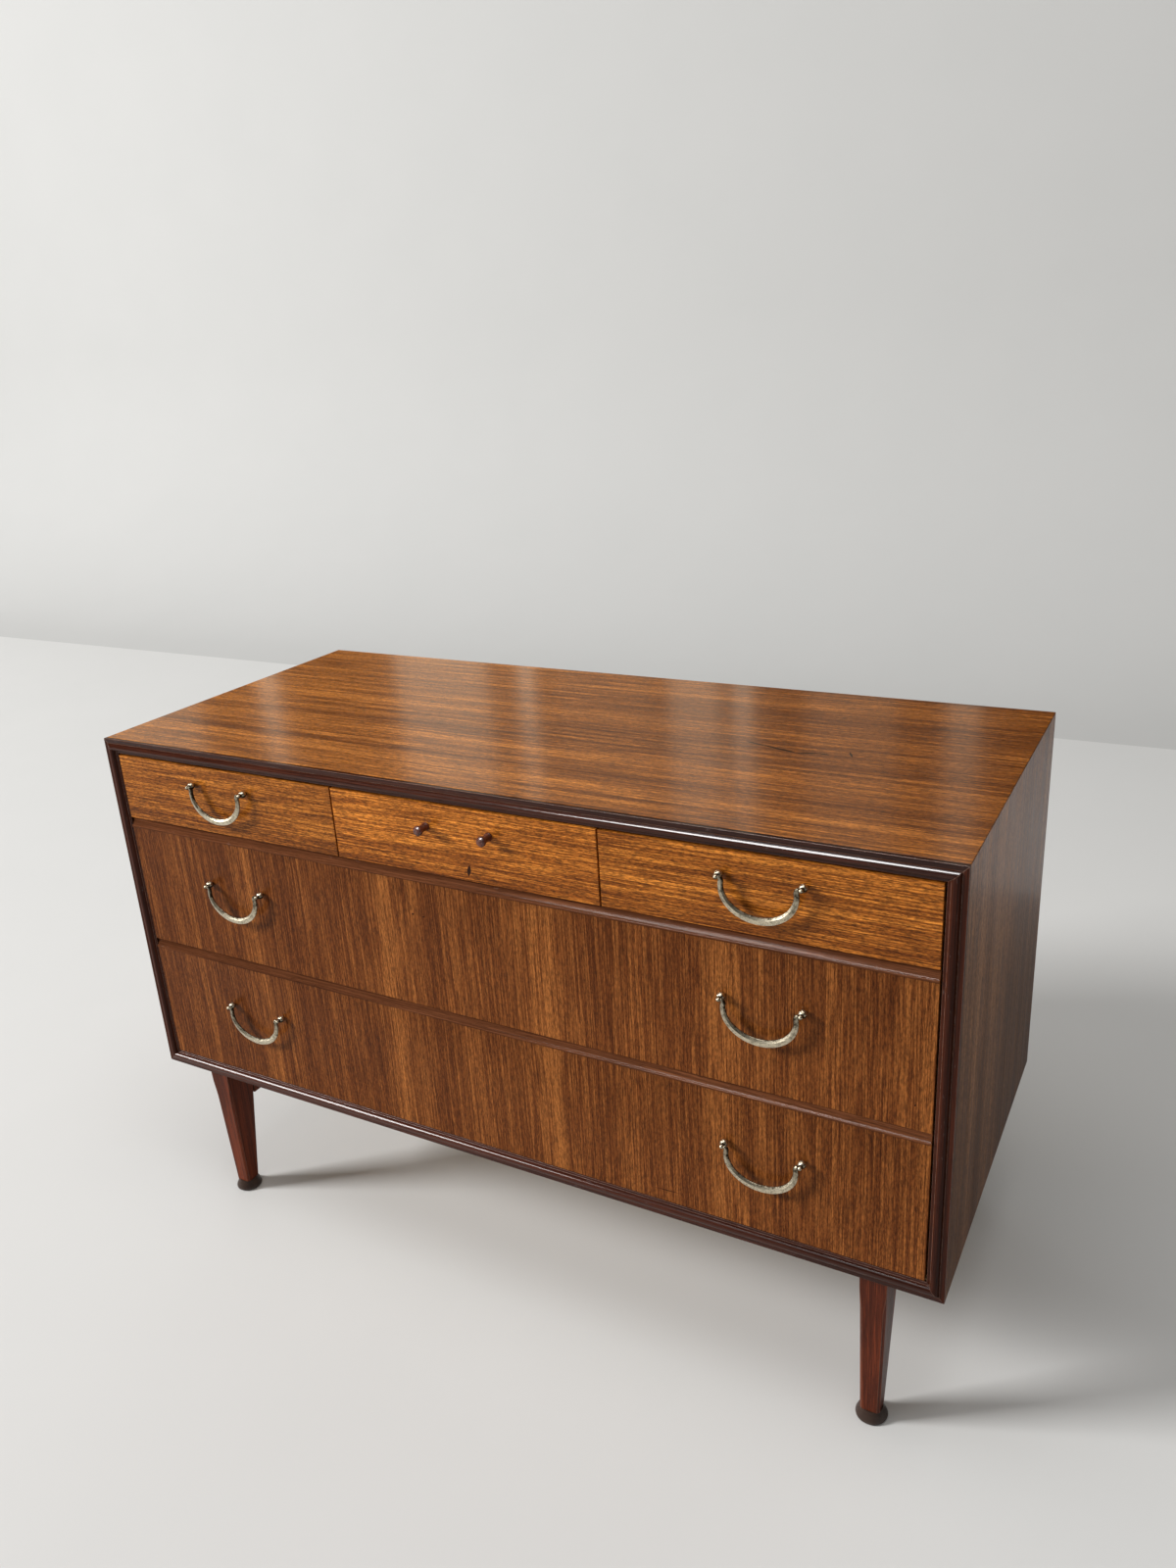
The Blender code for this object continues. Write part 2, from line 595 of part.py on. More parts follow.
def main():
    for leftover in list(bpy.data.objects):
        bpy.data.objects.remove(leftover, do_unlink=True)
    finishes = make_materials()
    make_top_panel(finishes["top"])
    for side in ("left", "right"):
        make_side_panel(side, finishes["side"])
    make_flat_panels(finishes)
    make_partitions(finishes["inner"])
    make_runners(finishes["inner"])
    make_mouldings(finishes["moulding"])
    make_legs(finishes["leg"], finishes["glide"])
    make_under_rails(finishes["leg"])
    drawers = make_drawers(finishes)
    make_handles(drawers, finishes["brass"])
    make_knobs(drawers["top_centre"], finishes["knob"])


main()
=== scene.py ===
"""Looks of a low chest of drawers: veneers, lacquer, aged brass and fine shapes around the CAD frame."""
import json
import math

import bmesh
import bpy
from mathutils import Matrix, Vector

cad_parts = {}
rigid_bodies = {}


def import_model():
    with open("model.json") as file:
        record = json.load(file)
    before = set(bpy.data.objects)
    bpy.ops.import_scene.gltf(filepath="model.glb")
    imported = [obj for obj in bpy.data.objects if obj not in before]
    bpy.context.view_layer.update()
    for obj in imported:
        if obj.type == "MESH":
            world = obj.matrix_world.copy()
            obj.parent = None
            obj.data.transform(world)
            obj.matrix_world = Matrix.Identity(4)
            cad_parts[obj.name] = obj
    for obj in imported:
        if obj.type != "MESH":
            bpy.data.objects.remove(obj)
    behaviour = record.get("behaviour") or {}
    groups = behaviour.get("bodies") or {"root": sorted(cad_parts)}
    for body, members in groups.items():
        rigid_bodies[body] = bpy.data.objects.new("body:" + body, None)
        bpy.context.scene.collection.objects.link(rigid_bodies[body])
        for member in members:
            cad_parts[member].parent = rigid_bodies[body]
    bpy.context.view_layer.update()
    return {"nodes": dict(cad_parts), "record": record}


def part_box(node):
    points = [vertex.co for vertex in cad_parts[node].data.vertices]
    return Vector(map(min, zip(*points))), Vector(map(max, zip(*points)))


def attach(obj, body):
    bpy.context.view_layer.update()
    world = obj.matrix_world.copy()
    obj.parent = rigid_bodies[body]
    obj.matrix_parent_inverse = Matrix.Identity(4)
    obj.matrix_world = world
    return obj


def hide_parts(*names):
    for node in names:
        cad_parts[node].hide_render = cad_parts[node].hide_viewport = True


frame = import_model()

RECORD = frame["record"]
BODY_OF = {node: body for body, nodes in RECORD["behaviour"]["bodies"].items() for node in nodes}
SLOT_OF = {part["node"]: part["material_slot"] for part in RECORD["subparts"]}
HANDLES = ("top_left", "top_right", "middle_left", "middle_right", "bottom_left", "bottom_right")
DRAWERS = ("top_left", "top_centre", "top_right", "middle", "bottom")

# ---------------------------------------------------------------- driving dimensions, metres
ARRIS = 0.0006                # rounding of a panel's edges
MOULDING_ARRIS = 0.0003
BAIL_ARRIS = 0.00018
WELD = 0.00002                # vertices of a CAD mesh closer than this are one
FLAT_ANGLE = 0.5              # degrees; faces of a CAD mesh that turn less than this are one
FACE_GAP = 0.0003             # between a drawer's face and what is fixed to it
LIPPING_HEIGHT = 0.0119       # strip along the top of the wide fronts

POST_SPACING = 0.0844
POST_FOOT = 0.0020
POST_BALL = 0.0043
POST_BALL_OUT = 0.0045        # middle of the ball from the drawer face
POST_BALL_TURNS = range(150, 24, -12)   # degrees round the ball, from its back to its front
POST_NECK = 0.0020
POST_HEAD = 0.0022
POST_HEAD_EDGE = 0.94 * POST_HEAD
POST_HEAD_HALF = 0.0018       # head behind and in front of the pivot
POST_STEP = 0.0002            # rounding of the head's edges, measured along the post
POST_TIP = 0.0006
POST_TIP_EDGE = 1.8 * POST_TIP
POST_TIP_ROUND = 0.0015       # radius where the tip begins to round
POST_LENGTH = 0.0134
POST_SHADE = 0.0004           # painted shade begins this far under the middle of a post
PIVOT_OUT = 0.0104            # axis of a bail from the drawer face
PIN_RADIUS = 0.0010
PIN_BORE = 0.00115            # radius of the hole that the pin turns in
DRILL_REACH = 0.01            # of the drill to either side of the hole's middle
PIN_END = 0.0017              # end of a pin past the middle of its post
KNUCKLE_X = 0.0398            # from the middle of the bail
KNUCKLE_HALF = 0.0022
KNUCKLE_START = 0.00015       # length of the step from the pin up to the knuckle
KNUCKLE_BLUNT = 0.85          # size of the knuckle's end against the knuckle
KNUCKLE_TURNS = (8, 20, 35, 50, 65)
ELBOW = 0.0026                # radius of the turn from the knuckle into the crescent
BAIL_DROP = 0.0432            # from the pivot to the lowest point
BAIL_SPREAD = 10              # degrees by which the crescent passes half a turn at each end
BAIL_END = 0.0027             # half width of the crescent at its ends
BAIL_MIDDLE = 0.0041          # and at its lowest point
BAIL_HALF_DEPTH = 0.0022
BAIL_STEPS = 56
# (towards the inner edge, backwards) outline across the bail: a ridge runs along its front
BAIL_OUTLINE = ((1.00, 0.0), (0.94, 0.45), (0.66, 0.85), (0.22, 1.0), (-0.30, 1.0), (-0.75, 0.80),
                (-0.97, 0.40), (-1.0, -0.05), (-0.92, -0.38), (-0.30, -0.74), (0.33, -1.0), (0.92, -0.42))

CURVE_STEPS = 4               # steps of a smooth curve between two points of a profile
# (distance from the drawer face, radius) of a knob
KNOB_PROFILE = ((FACE_GAP, 0.0050), (0.0012, 0.0050), (0.0032, 0.0044), (0.0085, 0.0041), (0.0115, 0.0044),
                (0.0127, 0.0055), (0.0142, 0.0058), (0.0160, 0.0053), (0.0173, 0.0037), (0.0180, 0.0012))
# (height above the floor, radius) of a glide
GLIDE_PROFILE = ((0.0, 0.0150), (0.0012, 0.0170), (0.0032, 0.0175), (0.0058, 0.0166), (0.0090, 0.0150),
                 (0.0110, 0.0138), (0.0137, 0.0123))
NUT_RADIUS = 0.0042
NUT_HEIGHT = 0.0030
WASHER_RADIUS = 0.0062
WASHER_HEIGHT = 0.0008
STUD_RADIUS = 0.0016
STUD_END = 0.0055             # stud past the back of the front
STUD_CHAMFER = 0.0003
NAIL_RADIUS = 0.0024
NAIL_PROUD = 0.0004
NAIL_SPACING = 0.13
NAIL_MARGIN = 0.010           # from the edges of the back panel
NAIL_HEIGHTS = (0.25, 0.5, 0.75)   # of the nails at its sides, as shares of its height
TAIL_PITCH = 0.026            # dovetails of the drawer boxes
TAIL_LENGTH = 0.0100
TAIL_WIDE = 0.30              # half widths of a tail against the pitch, at its end and at its root
TAIL_NARROW = 0.20
TAIL_SET_BACK = 0.0004        # end of a tail from the back of the box
TAIL_SUNK = 0.0005
TAIL_PROUD = 0.00012

CASE_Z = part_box("bottom_panel")[0].z
TOP_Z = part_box("top_panel")[1].z
FACE_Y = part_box("front_top_centre")[0].y
FRONT_BACK_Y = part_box("front_top_centre")[1].y

# ---------------------------------------------------------------- driving values of the looks
# colours are linear red, green and blue
GOLDEN = dict(dark=(0.105, 0.0255, 0.0026), light=(0.57, 0.195, 0.027))
AMBER = dict(dark=(0.097, 0.0237, 0.0019), light=(0.565, 0.196, 0.029))
BROWN = dict(dark=(0.055, 0.0125, 0.0022), light=(0.325, 0.110, 0.0245))
RED = dict(dark=(0.014, 0.0030, 0.0012), light=(0.075, 0.0165, 0.0060))
ROSY = dict(dark=(0.060, 0.0195, 0.0080), light=(0.245, 0.088, 0.0365))
CHERRY = dict(dark=(0.062, 0.0180, 0.0065), light=(0.235, 0.076, 0.0280))
MAHOGANY = dict(dark=(0.0325, 0.0062, 0.0022), light=(0.194, 0.0380, 0.0125))
WALNUT = dict(dark=(0.064, 0.0235, 0.0090), light=(0.32, 0.148, 0.0660))
PLAIN = dict(dark=(0.30, 0.18, 0.09), light=(0.52, 0.36, 0.20))
END_GRAIN = dict(dark=(0.20, 0.11, 0.05), light=(0.36, 0.23, 0.12))
RUBBED_BRASS = (0.68, 0.605, 0.45)
# dark of grimy brass, also used for the painted shade on the posts
GRIME_AND_SHADE = (0.035, 0.024, 0.013)
PITTED_BRASS = (0.060, 0.042, 0.022)
BROWN_PLASTIC = (0.040, 0.023, 0.017)
DUST = (0.17, 0.14, 0.11)
PLATED_STEEL = (0.42, 0.40, 0.37)
RUST = (0.16, 0.09, 0.05)

# patterns of the wood: cycles per metre along the grain and across it
WARP = (1.6, 6.0)
BANDS = (1.0, 24.0)
STREAKS = (1.7, 170.0)
LINES = (11.0, 720.0)
PORES = (70.0, 1500.0)
FLECKS = (210.0, 900.0)
MOTTLE = (100.0, 620.0)
RUBBING = (60.0, 240.0)
SWAY = 0.010                  # how far the grain wanders sideways
PORE_DEPTH = 0.45             # how far a pore darkens the wood
GRAIN_RELIEF = 0.00012        # depths of bump, metres
BRASS_RELIEF = 0.00025
PLASTIC_RELIEF = 0.00015
DUST_HEIGHT = 0.006           # dust thins out up to this height above the floor

# leaves of veneer side by side, with a seam at `seam`, and the tone from one edge of a leaf to the other
FRONT_LEAF = dict(axis="x", width=0.2123, seam=0.1080, slip=0.0012, shift=0.31)
TOP_LEAF = dict(axis="y", width=0.1270, seam=-0.0500, slip=0.004, shift=0.17)
FRONT_FIGURE = [(0.0, 0.50), (0.10, 0.56), (0.22, 0.30), (0.33, 0.48), (0.47, 0.52), (0.62, 0.42),
                (0.73, 0.36), (0.84, 0.58), (0.94, 0.86), (1.0, 0.74)]
TOP_FIGURE = [(0.0, 0.56), (0.3, 0.52), (0.42, 0.22), (0.5, 0.46), (0.8, 0.64), (1.0, 0.52)]

# (side, seed of the pattern, lighter by this share) of each small front
SMALL_FRONTS = (("left", 11.0, -0.16), ("centre", 43.0, 0.14), ("right", 47.0, -0.01))
SMALL_FRONT_FADE = (0.105, 0.05)   # they lighten upwards between these depths under the top

# chips and scratches: start and end as (x, height above the case's underside), and width
WIDE_MARKS = (((-0.0750, 0.3140), (-0.0720, 0.3155), 0.0020),
              ((-0.0600, 0.3135), (-0.0570, 0.3145), 0.0016),
              ((0.4970, 0.2215), (0.4985, 0.2245), 0.0012),
              ((0.2180, 0.0345), (0.2510, 0.0360), 0.0009),
              ((-0.2350, 0.1500), (-0.2150, 0.1570), 0.0004),
              ((-0.2150, 0.1570), (-0.1950, 0.1590), 0.0004))
CENTRE_MARKS = (((0.0098, 0.3762), (0.0126, 0.3900), 0.0048),)
# the same on the top, with points as (x, y)
TOP_MARKS = (((0.2315, 0.0275), (0.2640, 0.0170), 0.0032),
             ((0.2560, 0.0195), (0.3060, 0.0052), 0.0042),
             ((0.3000, 0.0060), (0.3260, 0.0140), 0.0036),
             ((0.3220, 0.0140), (0.3370, 0.0115), 0.0030),
             ((0.3545, 0.0270), (0.3620, 0.0120), 0.0026))

# ---------------------------------------------------------------- stage
FLOOR_REACH = 6.0             # to either side, and towards the viewer
BACKDROP_Y = 2.2
BACKDROP_ROUNDING = 1.2
BACKDROP_HEIGHT = 5.0
FLOOR_TONES = ((0.652, 0.648, 0.634), (0.662, 0.657, 0.643))
BACKDROP_TONES = ((0.522, 0.520, 0.508), (0.530, 0.527, 0.515))
WORLD_COLOUR = (1.0, 0.99, 0.97, 1.0)
WORLD_STRENGTH = 0.26
CAMERA_PLACE = (0.7138, -1.1779, 1.1265)
CAMERA_RIGHT = (0.8770, 0.4769, -0.0582)
CAMERA_DOWN = (0.1199, -0.3346, -0.9347)
CAMERA_AHEAD = (-0.4652, 0.8128, -0.3507)
CAMERA_LENS = 27.42

# each light: place, target, width, height, watts
KEY = ((-8.0, -4.8, 4.9), (0, 0, 0.35), 2.3, 2.3, 1300)
OVERHEAD = ((0.2, -0.6, 3.2), (0, 0, 0.5), 2.0, 1.4, 30)
POST_LIGHT = ((-0.8, -2.2, 3.2), (0, 0, 0.5), 0.9, 0.9, 38)
BEAD_LIGHT = ((-0.35, -1.5, 2.7), (0.4, -0.2, 0.7), 0.9, 2.6, 400)
LOW_LIGHT = ((-1.8, -1.6, 1.65), (-0.3, -0.2, 0.22), 1.3, 2.0, 340)
SIDE_LIGHT = ((0.78, 0.80, 0.44), (0.78, 0.0, 0.44), 0.45, 0.52, 0.62)
# beginnings of the names of the pieces that the bead light shows on
BEADED = ("moulding_top", "moulding_left", "moulding_right", "knob_", "front_middle", "front_bottom")
# tall soft lights behind the chest that the polished top reflects: (middle, width, brightness)
WINDOW_STRIPS = ((-4.70, 1.50, 0.65), (-3.45, 0.12, 1.3), (-2.40, 0.50, 0.85), (-1.95, 0.07, 1.5),
                 (-1.58, 0.46, 0.26), (-1.17, 0.22, 0.75), (-0.96, 0.07, 1.3), (-0.53, 0.34, 0.30),
                 (-0.12, 0.11, 0.75))
WINDOW_COLOUR = (1.0, 0.91, 0.73)
WINDOW_Y = 3.0
WINDOW_Z = 1.9
WINDOW_HEIGHT = 2.6


# ---------------------------------------------------------------- material helper
class Shade:
    """Short calls that build one material's node tree."""

    def __init__(self, name):
        self.material = bpy.data.materials.new(name)
        self.material.use_nodes = True
        self.tree = self.material.node_tree
        self.shader = self.tree.nodes["Principled BSDF"]
        self.position = self.add("ShaderNodeTexCoord").outputs["Object"]
        split = self.add("ShaderNodeSeparateXYZ")
        self.link(self.position, split.inputs[0])
        self.x, self.y, self.z = split.outputs
        self.surface = self.position

    def add(self, kind, **settings):
        node = self.tree.nodes.new(kind)
        for key, value in settings.items():
            setattr(node, key, value)
        return node

    def link(self, value, socket):
        if isinstance(value, bpy.types.NodeSocket):
            self.tree.links.new(value, socket)
        else:
            socket.default_value = value

    def math(self, operation, *values, clamp=False):
        node = self.add("ShaderNodeMath", operation=operation, use_clamp=clamp)
        for value, socket in zip(values, node.inputs):
            self.link(value, socket)
        return node.outputs[0]

    def scaled(self, x, y, z, offset=(0.0, 0.0, 0.0)):
        """Position times a factor per axis, plus an offset."""
        node = self.add("ShaderNodeVectorMath", operation="MULTIPLY_ADD")
        self.link(self.position, node.inputs[0])
        node.inputs[1].default_value = (x, y, z)
        self.link(offset, node.inputs[2])
        return node.outputs[0]

    def noise(self, vector, detail=2.0, roughness=0.5):
        node = self.add("ShaderNodeTexNoise")
        self.link(vector, node.inputs["Vector"])
        node.inputs["Scale"].default_value = 1.0
        node.inputs["Detail"].default_value = detail
        node.inputs["Roughness"].default_value = roughness
        return node.outputs["Fac"]

    def span(self, value, low, high, to_low=0.0, to_high=1.0):
        """Smooth change from one value to another as `value` goes from low to high."""
        node = self.add("ShaderNodeMapRange", interpolation_type="SMOOTHSTEP")
        for item, socket in zip((value, low, high, to_low, to_high), node.inputs):
            self.link(item, socket)
        return node.outputs[0]

    def ramp(self, value, stops):
        """stops: (place, colour or grey) pairs."""
        node = self.add("ShaderNodeValToRGB")
        self.link(value, node.inputs[0])
        points = node.color_ramp.elements
        while len(points) < len(stops):
            points.new(0.5)
        for point, (place, colour) in zip(points, stops):
            point.position = place
            point.color = (*colour, 1.0) if isinstance(colour, tuple) else (colour, colour, colour, 1.0)
        return node.outputs[0]

    def mix(self, factor, first, second, blend="MIX"):
        node = self.add("ShaderNodeMix", data_type="RGBA", blend_type=blend)
        self.link(factor, node.inputs["Factor"])
        for colour, socket in ((first, node.inputs[6]), (second, node.inputs[7])):
            self.link((*colour, 1.0) if isinstance(colour, tuple) else colour, socket)
        return node.outputs[2]

    def bump(self, height, distance, strength):
        node = self.add("ShaderNodeBump")
        node.inputs["Strength"].default_value = strength
        node.inputs["Distance"].default_value = distance
        self.link(height, node.inputs["Height"])
        return node.outputs[0]

    def finish(self, colour, roughness, normal=None, **fixed):
        self.link(colour, self.shader.inputs["Base Color"])
        self.link(roughness, self.shader.inputs["Roughness"])
        if normal is not None:
            self.link(normal, self.shader.inputs["Normal"])
        for key, value in fixed.items():
            self.shader.inputs[key.replace("_", " ")].default_value = value
        return self.material


def along(grain, pattern):
    """Factors per axis from a pattern's (factor along the grain, factor across it)."""
    length, across = pattern
    return tuple(length if axis == grain else across for axis in "xyz")


# ---------------------------------------------------------------- wood
def leaves(shade, axis, width, seam, slip, shift):
    """Cuts the veneer into leaves side by side along `axis`, each repeating the figure of the one before.

    Returns the place within the leaf from 0 to 1.  `slip` moves the figure a little across the grain
    from leaf to leaf and `shift` moves it along the grain, so that no two leaves are the same.
    """
    across = {"x": shade.x, "y": shade.y, "z": shade.z}[axis]
    place = shade.math("DIVIDE", shade.math("SUBTRACT", across, seam), width)
    leaf = shade.math("FLOOR", place)
    share = shade.math("SUBTRACT", place, leaf)
    inside = shade.math("MULTIPLY_ADD", leaf, slip, shade.math("MULTIPLY", share, width))
    moved = {"x": shade.x, "y": shade.y, "z": shade.z, axis: inside}
    for other in "xyz":
        if other != axis:
            moved[other] = shade.math("MULTIPLY_ADD", leaf, shift, moved[other])
    join = shade.add("ShaderNodeCombineXYZ")
    for other, socket in zip("xyz", join.inputs):
        shade.link(moved[other], socket)
    shade.position = join.outputs[0]
    return share


def scratch(shade, start, end, width):
    """Mask of a straight mark between two points, tapering at both ends."""
    start, end = Vector(start), Vector(end)
    reach = end - start
    place = shade.add("ShaderNodeVectorMath", operation="SUBTRACT")
    shade.link(shade.surface, place.inputs[0])
    place.inputs[1].default_value = start
    share = shade.add("ShaderNodeVectorMath", operation="DOT_PRODUCT")
    shade.link(place.outputs[0], share.inputs[0])
    share.inputs[1].default_value = reach / reach.length_squared
    along_it = shade.math("ADD", share.outputs["Value"], 0.0, clamp=True)
    nearest = shade.add("ShaderNodeVectorMath", operation="SCALE")
    nearest.inputs[0].default_value = reach
    shade.link(along_it, nearest.inputs["Scale"])
    away = shade.add("ShaderNodeVectorMath", operation="DISTANCE")
    shade.link(place.outputs[0], away.inputs[0])
    shade.link(nearest.outputs[0], away.inputs[1])
    taper = shade.math("SINE", shade.math("MULTIPLY", along_it, math.pi))
    half = shade.math("MULTIPLY_ADD", taper, width * 0.45, width * 0.05)
    return shade.math("LESS_THAN", away.outputs["Value"], half)


def wood(name, grain, dark, light, seed, leaf=None, figure=None, figure_share=0.0, band_share=0.35,
         streak_share=0.4, line_share=0.45, contrast=(0.32, 0.68), fleck=0.0, wear=0.0, gradient=None,
         roughness=(0.36, 0.52), gloss=0.25, coat_roughness=0.15, specular=0.22, scratches=()):
    """Timber with broad bands, streaks, fine lines and pores running along `grain`.

    `figure` is the tone across a veneer leaf, `fleck` the strength of short mottled flecks, `wear` the
    share of rubbed and chipped spots, and `gradient` is (axis, low, high, tone change) over the piece; on
    the top, the side panels and the wide fronts that change is painted light and shade.
    """
    shade = Shade(name)
    heights = {"x": shade.x, "y": shade.y, "z": shade.z}
    share = leaves(shade, **leaf) if leaf else None
    offset = (seed, seed * 1.7, seed * 2.3)
    warp = shade.noise(shade.scaled(*along(grain, WARP), offset), detail=1.0)
    bend = shade.add("ShaderNodeVectorMath", operation="MULTIPLY_ADD")
    shade.link(warp, bend.inputs[0])
    bend.inputs[1].default_value = along(grain, (0.0, SWAY))
    shade.link(shade.position, bend.inputs[2])
    shade.position = bend.outputs[0]
    bands = shade.noise(shade.scaled(*along(grain, BANDS), offset), detail=2.0)
    streaks = shade.noise(shade.scaled(*along(grain, STREAKS), offset), detail=4.0, roughness=0.65)
    lines = shade.noise(shade.scaled(*along(grain, LINES), offset), detail=3.0, roughness=0.6)
    pores = shade.noise(shade.scaled(*along(grain, PORES), offset), detail=1.0)
    total = band_share + streak_share + line_share
    tone = shade.math("MULTIPLY", bands, band_share / total)
    tone = shade.math("MULTIPLY_ADD", streaks, streak_share / total, tone)
    tone = shade.math("MULTIPLY_ADD", lines, line_share / total, tone)
    tone = shade.span(tone, *contrast)
    if figure:
        change = shade.math("MULTIPLY_ADD", shade.ramp(share, figure), figure_share, -0.5 * figure_share)
        tone = shade.math("ADD", tone, change)
    # tone change along one axis; on some pieces this is painted light and shade
    if gradient:
        axis, low, high, change = gradient
        tone = shade.math("ADD", tone, shade.span(heights[axis], low, high, -change, change))
    middle = tuple((low * high) ** 0.5 for low, high in zip(dark, light))
    colour = shade.ramp(tone, [(0.0, dark), (0.5, middle), (1.0, light)])
    if fleck:
        spots = shade.noise(shade.scaled(*along(grain, FLECKS), (seed, 0, 0)), detail=2.5, roughness=0.65)
        mottle = shade.noise(shade.scaled(*along(grain, MOTTLE), (0, seed, 0)), detail=2.0, roughness=0.6)
        spots = shade.math("MULTIPLY_ADD", mottle, 0.4, shade.math("MULTIPLY", spots, 0.6))
        spots = shade.span(spots, 0.38, 0.62, 1.0 - fleck, 1.0 + fleck)
        colour = shade.mix(1.0, colour, spots, "MULTIPLY")
    pore_mask = shade.span(pores, 0.58, 0.70, 0.0, PORE_DEPTH)
    deep = tuple(channel * 0.2 for channel in dark)
    for mark in scratches:
        pore_mask = shade.math("MAXIMUM", pore_mask, scratch(shade, *mark))
    colour = shade.mix(pore_mask, colour, deep)
    rough = shade.span(lines, 0.3, 0.7, *roughness)
    if wear:
        rubbed = shade.noise(shade.scaled(*along(grain, RUBBING), offset), detail=4.0, roughness=0.7)
        rubbed = shade.span(rubbed, 0.66 - 0.30 * wear, 0.74 - 0.30 * wear)
        bare = tuple(0.5 * (channel + 0.10) for channel in light)
        colour = shade.mix(shade.math("MULTIPLY", rubbed, 0.7), colour, bare)
        rough = shade.math("MULTIPLY_ADD", rubbed, 0.25, rough)
    height = shade.math("MULTIPLY_ADD", pore_mask, -1.0, shade.math("MULTIPLY", lines, 0.5))
    normal = shade.bump(height, GRAIN_RELIEF, 0.5)
    return shade.finish(colour, rough, normal, Coat_Weight=gloss, Coat_Roughness=coat_roughness,
                        Specular_IOR_Level=specular)


def brass(name):
    """Worn brass: pale where it is rubbed, brown to black in pits, where grime sits and where painted
    shade is written into the posts.
    """
    shade = Shade(name)
    grime_and_shade_map = shade.add("ShaderNodeAttribute", attribute_name="grime").outputs["Fac"]
    patches = shade.noise(shade.scaled(190.0, 190.0, 190.0), detail=4.0, roughness=0.7)
    pits = shade.noise(shade.scaled(850.0, 850.0, 850.0), detail=2.0)
    loose = shade.span(patches, 0.42, 0.72, 0.0, 0.55)
    # grime and painted shade written into the mesh, with loose patches of grime
    grime_and_shade_share = shade.math("MULTIPLY_ADD", grime_and_shade_map, shade.span(patches, 0.25, 0.6, 0.75, 1.15), loose, clamp=True)
    colour = shade.mix(grime_and_shade_share, RUBBED_BRASS, GRIME_AND_SHADE)
    speck = shade.span(pits, 0.58, 0.68, 0.0, 0.7)
    colour = shade.mix(speck, colour, PITTED_BRASS)
    rough = shade.math("MULTIPLY_ADD", grime_and_shade_share, 0.22, shade.span(patches, 0.3, 0.7, 0.26, 0.40))
    height = shade.math("MULTIPLY_ADD", speck, -0.8, patches)
    return shade.finish(colour, rough, shade.bump(height, BRASS_RELIEF, 0.7), Metallic=1.0)


def plastic(name):
    """Dark moulded plastic, scuffed and dusty."""
    shade = Shade(name)
    dust = shade.noise(shade.scaled(70.0, 70.0, 70.0), detail=4.0, roughness=0.7)
    scuffs = shade.noise(shade.scaled(300.0, 300.0, 900.0), detail=3.0)
    low_down = shade.span(shade.z, 0.0, DUST_HEIGHT, 1.0, 0.25)
    veil = shade.math("MULTIPLY", shade.span(dust, 0.42, 0.72, 0.0, 0.30), low_down)
    colour = shade.mix(veil, BROWN_PLASTIC, DUST)
    rough = shade.span(scuffs, 0.35, 0.65, 0.30, 0.55)
    return shade.finish(colour, rough, shade.bump(scuffs, PLASTIC_RELIEF, 0.5), Specular_IOR_Level=0.4)


def steel(name):
    """Dull plated steel of nuts, washers and nails."""
    shade = Shade(name)
    spots = shade.noise(shade.scaled(400.0, 400.0, 400.0), detail=4.0, roughness=0.7)
    colour = shade.mix(shade.span(spots, 0.5, 0.7), PLATED_STEEL, RUST)
    return shade.finish(colour, shade.span(spots, 0.3, 0.7, 0.35, 0.6), Metallic=0.9)


def marks_on_front(marks):
    """The marks as points on the faces of the drawers."""
    placed = []
    for (start_x, start_z), (end_x, end_z), width in marks:
        placed.append(((start_x, FACE_Y, CASE_Z + start_z), (end_x, FACE_Y, CASE_Z + end_z), width))
    return placed


